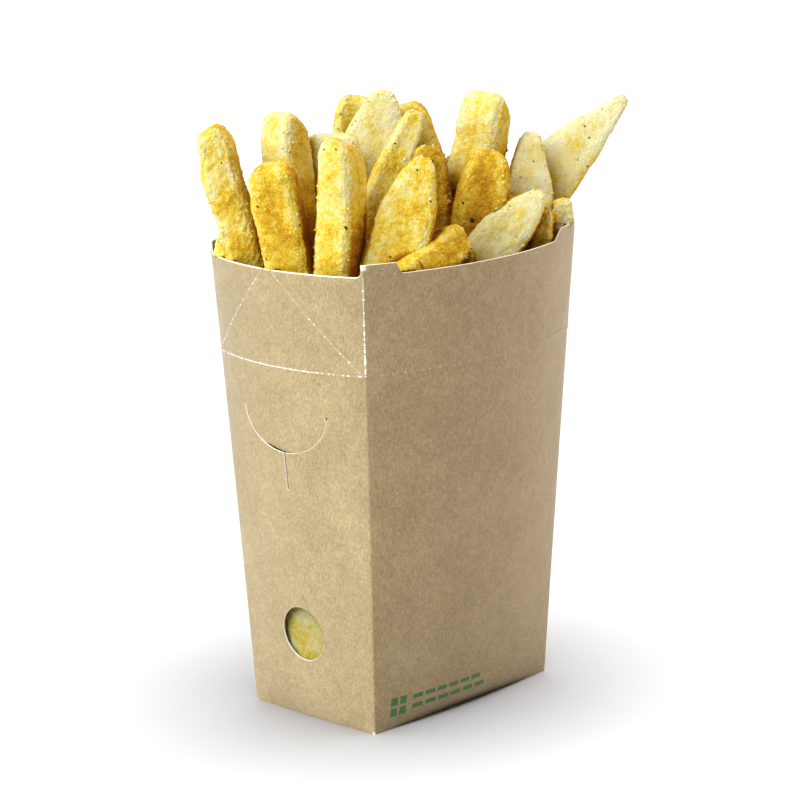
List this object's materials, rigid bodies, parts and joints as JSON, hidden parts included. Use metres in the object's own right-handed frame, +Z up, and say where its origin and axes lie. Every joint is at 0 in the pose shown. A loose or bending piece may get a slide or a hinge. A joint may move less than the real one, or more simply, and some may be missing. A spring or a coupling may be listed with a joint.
{
  "type": "french fries in a carton",
  "caption": "Tall folded kraft carton with bulging panels, eared rim, cut tab and round window, filled with a standing heap of thick-cut potato chips.",
  "frame": {"origin": "middle of the carton's base, on the surface it stands on", "axes": "+Z up, the wide panels face -Y and +Y, the narrow panels with the window and the cut tab face -X and +X"},
  "size_m": [0.1422, 0.0915, 0.1933],
  "materials": {
    "kraft_board": "matte, unbleached brown kraft board with pale cut edges and fine fibres",
    "fried_potato": null
  },
  "bodies": {
    "root": {"carton": "kraft_board", "fries": "fried_potato"}
  },
  "joints": []
}
